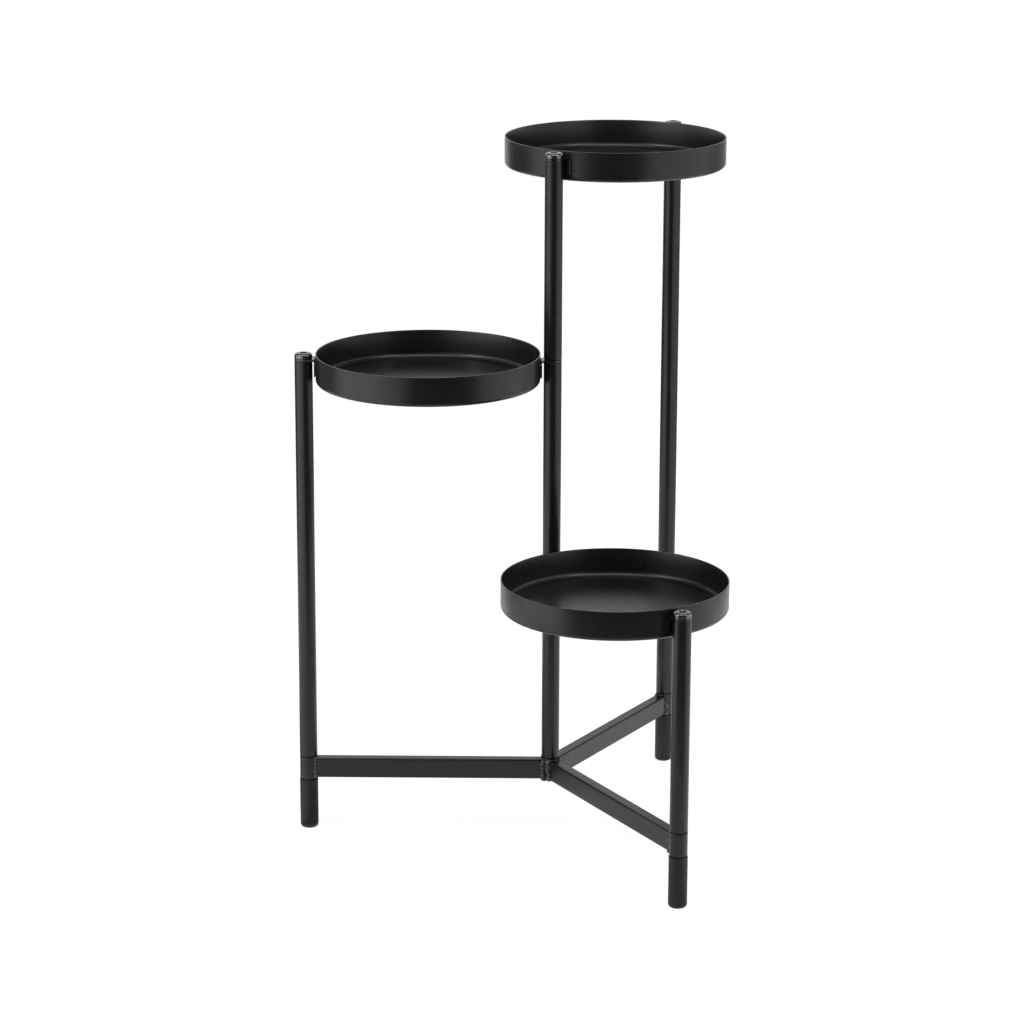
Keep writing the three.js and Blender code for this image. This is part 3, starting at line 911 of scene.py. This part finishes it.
def floor_material():
    """White paint with the stand's own soft shadow, most of which the camera and reflections
    see as plain white."""
    material, nodes, links, shader = new_material("floor_white")
    nodes.remove(shader)
    paint = nodes.new("ShaderNodeBsdfDiffuse")
    paint.inputs["Color"].default_value = (FLOOR_PAINT, FLOOR_PAINT, FLOOR_PAINT, 1)
    white = nodes.new("ShaderNodeEmission")
    white.inputs["Strength"].default_value = FLOOR_WHITE
    share = nodes.new("ShaderNodeMath")
    share.operation = "MULTIPLY"
    share.inputs[1].default_value = FLOOR_WHITE_SHARE
    links.new(seen_directly(nodes, links), share.inputs[0])
    mix_shaders(nodes, links, share.outputs[0], paint, white, nodes["Material Output"])
    return material


def build_floor():
    bm = bmesh.new()
    bmesh.ops.create_grid(bm, x_segments=1, y_segments=1, size=FLOOR_HALF_SIDE)
    floor = mesh_object("floor", bm)
    floor.location = (0, 0, CAD_BOX[0][2])
    floor.data.materials.append(floor_material())


def on_circle(azimuth, radius):
    """A point round the stand's middle, as (x, y)."""
    angle = math.radians(azimuth)
    return radius * math.sin(angle), -radius * math.cos(angle)


def add_lamp(name, azimuth, elevation, distance, width, height, power, aim, mirrored):
    """A soft lamp that points at the upright line through the stand's middle."""
    light = bpy.data.lights.new(name, "AREA")
    light.shape = "RECTANGLE"
    light.size = width
    light.size_y = height
    light.energy = power
    lamp = bpy.data.objects.new(name, light)
    elevation = math.radians(elevation)
    out = Vector((*on_circle(azimuth, math.cos(elevation)), math.sin(elevation)))
    lamp.location = Vector((0, 0, aim)) + out * distance
    lamp.rotation_euler = out.to_track_quat("Z", "Y").to_euler()
    lamp.visible_camera = False
    lamp.visible_glossy = mirrored
    bpy.context.collection.objects.link(lamp)


def card_material(name, shade_low, shade_high):
    material, nodes, links, shader = new_material(name)
    nodes.remove(shader)
    paint = nodes.new("ShaderNodeEmission")
    shade = shade_by_height(nodes, links, "Object", shade_low, shade_high, CARD_FOOT, CARD_FADE)
    links.new(shade, paint.inputs["Color"])
    links.new(paint.outputs[0], nodes["Material Output"].inputs["Surface"])
    return material


def add_card(name, shades, azimuths, radii, heights):
    """A curved card that only reflections see. It stands as a screen, or lies on the floor."""
    bm = bmesh.new()
    columns = []
    for i in range(CARD_STEPS + 1):
        azimuth = azimuths[0] + (azimuths[1] - azimuths[0]) * i / CARD_STEPS
        columns.append([bm.verts.new((*on_circle(azimuth, radius), height))
                        for radius, height in zip(radii, heights)])
    for first, second in zip(columns, columns[1:]):
        bm.faces.new((first[0], second[0], second[1], first[1]))
    card = mesh_object(name, bm)
    card.data.materials.append(card_material(f"{name}_paint", *shades))
    for kind in ("camera", "diffuse", "transmission", "volume_scatter", "shadow"):
        setattr(card, f"visible_{kind}", False)


def build_camera():
    data = bpy.data.cameras.new("camera")
    data.lens = LENS
    data.sensor_width = SENSOR
    data.clip_end = CLIP_END
    camera = bpy.data.objects.new("camera", data)
    heading, pitch = math.radians(CAMERA_HEADING), math.radians(CAMERA_PITCH)
    forward = Vector((math.sin(heading) * math.cos(pitch), math.cos(heading) * math.cos(pitch),
                      -math.sin(pitch)))
    turn = forward.to_track_quat("-Z", "Y").to_matrix().to_4x4()
    roll = Matrix.Rotation(math.radians(CAMERA_ROLL), 4, "Z")
    place = Matrix.Translation(CAMERA_AIM - forward * CAMERA_DISTANCE)
    camera.matrix_world = place @ turn @ roll
    bpy.context.collection.objects.link(camera)
    bpy.context.scene.camera = camera


build_camera()
for side_index, side_name in enumerate(SIDES):
    add_bar(side_name, side_index)
    add_tube(f"collar_{side_name}")
    add_tube(f"leg_{side_name}")
    add_foot(f"foot_{side_name}")
    add_tray(TIER_OF_SIDE[side_name])
add_hub()
for section in SECTIONS:
    add_tube(f"post_{section}")
add_brackets()
add_screws()
finish_inner_nodes()

build_world()
build_floor()
for lamp_name, lamp_values in LAMPS.items():
    add_lamp(lamp_name, **lamp_values)
for card_name, card_values in CARDS.items():
    add_card(card_name, **card_values)

bpy.context.scene.view_settings.view_transform = "Standard"
